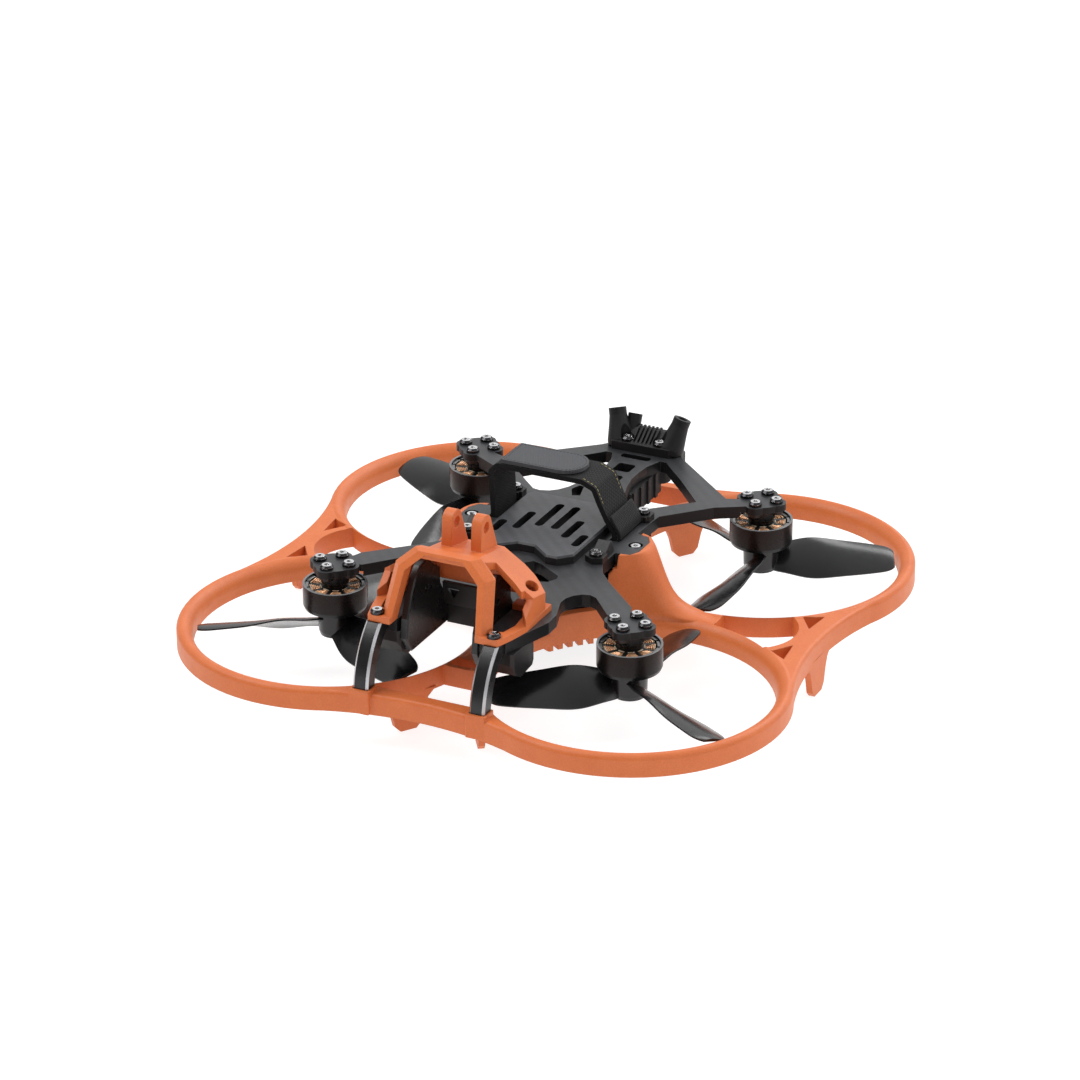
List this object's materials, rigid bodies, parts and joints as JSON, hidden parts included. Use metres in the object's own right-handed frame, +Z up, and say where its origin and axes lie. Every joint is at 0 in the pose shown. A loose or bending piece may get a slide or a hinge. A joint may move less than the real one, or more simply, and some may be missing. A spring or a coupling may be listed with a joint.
{
  "type": "fpv racing drone",
  "caption": "Ducted quadcopter with a one-piece orange guard, inverted spinning rotors, a carbon top plate, strap and nose cage.",
  "frame": {"origin": "on the ground under the middle of the motor square", "axes": "+Z up, nose toward -Y, +X toward the drone's left-hand side"},
  "size_m": [0.1771, 0.177, 0.0601],
  "materials": {
    "orange_plastic": "satin moulded orange",
    "carbon_plate": "satin carbon laminate",
    "deck_plate": "satin dark grey",
    "black_anodised": "satin black anodised aluminium",
    "strut_metal": "black with a bright machined edge",
    "black_moulding": "matt black",
    "soft_black": "matt black TPU",
    "steel_fastener": "dark steel",
    "bearing_steel": "ground steel",
    "magnet_nickel": "nickel plated",
    "stator_core": "coated laminations",
    "copper_wire": "enamelled copper",
    "prop_plastic": "glossy black",
    "webbing": "woven black webbing",
    "patch_grip": "grey textured grip",
    "circuit_board": "black solder mask",
    "board_chip": "black epoxy",
    "white_connector": "off-white nylon",
    "shield_can": "tinned shield"
  },
  "bodies": {
    "airframe": {"motor_base_front_left": "black_anodised", "stator_front_left": "stator_core", "windings_front_left": "copper_wire", "motor_base_front_right": "black_anodised", "stator_front_right": "stator_core", "windings_front_right": "copper_wire", "motor_base_rear_left": "black_anodised", "stator_rear_left": "stator_core", "windings_rear_left": "copper_wire", "motor_base_rear_right": "black_anodised", "stator_rear_right": "stator_core", "windings_rear_right": "copper_wire", "motor_bearings": "bearing_steel", "motor_screws": "steel_fastener", "top_plate": "carbon_plate", "bottom_plate": "carbon_plate", "prop_guard": "orange_plastic", "guard_screws": "steel_fastener", "battery_plate": "deck_plate", "battery_strap": "webbing", "strap_patch": "patch_grip", "strap_clips": "black_moulding", "clip_screws": "steel_fastener", "clip_nuts": "steel_fastener", "camera_cage": "orange_plastic", "cage_screws": "steel_fastener", "front_struts": "strut_metal", "camera_side_plates": "black_anodised", "camera_crossbox": "black_moulding", "strut_brackets": "black_moulding", "antenna_mount": "soft_black", "antenna_screws": "steel_fastener", "rear_bracket": "soft_black", "video_transmitter": "shield_can", "flight_controller": "circuit_board", "board_parts": "board_chip", "board_connectors": "white_connector", "stack_spacers": "steel_fastener", "stack_grommets": "soft_black", "stack_screws": "steel_fastener"},
    "rotor_front_left": {"bell_front_left": "black_anodised", "magnets_front_left": "magnet_nickel", "motor_shaft_front_left": "bearing_steel", "propeller_front_left": "prop_plastic", "prop_screws_front_left": "steel_fastener"},
    "rotor_front_right": {"bell_front_right": "black_anodised", "magnets_front_right": "magnet_nickel", "motor_shaft_front_right": "bearing_steel", "propeller_front_right": "prop_plastic", "prop_screws_front_right": "steel_fastener"},
    "rotor_rear_left": {"bell_rear_left": "black_anodised", "magnets_rear_left": "magnet_nickel", "motor_shaft_rear_left": "bearing_steel", "propeller_rear_left": "prop_plastic", "prop_screws_rear_left": "steel_fastener"},
    "rotor_rear_right": {"bell_rear_right": "black_anodised", "magnets_rear_right": "magnet_nickel", "motor_shaft_rear_right": "bearing_steel", "propeller_rear_right": "prop_plastic", "prop_screws_rear_right": "steel_fastener"}
  },
  "joints": [
    {"name": "front_left_rotor_spin", "type": "hinge", "parent": "airframe", "child": "rotor_front_left", "pos_m": [0.04455, -0.04455, 0.0242], "axis": [0, 0, 1], "continuous": true},
    {"name": "front_right_rotor_spin", "type": "hinge", "parent": "airframe", "child": "rotor_front_right", "pos_m": [-0.04455, -0.04455, 0.0242], "axis": [0, 0, 1], "continuous": true},
    {"name": "rear_left_rotor_spin", "type": "hinge", "parent": "airframe", "child": "rotor_rear_left", "pos_m": [0.04455, 0.04455, 0.0242], "axis": [0, 0, 1], "continuous": true},
    {"name": "rear_right_rotor_spin", "type": "hinge", "parent": "airframe", "child": "rotor_rear_right", "pos_m": [-0.04455, 0.04455, 0.0242], "axis": [0, 0, 1], "continuous": true}
  ]
}
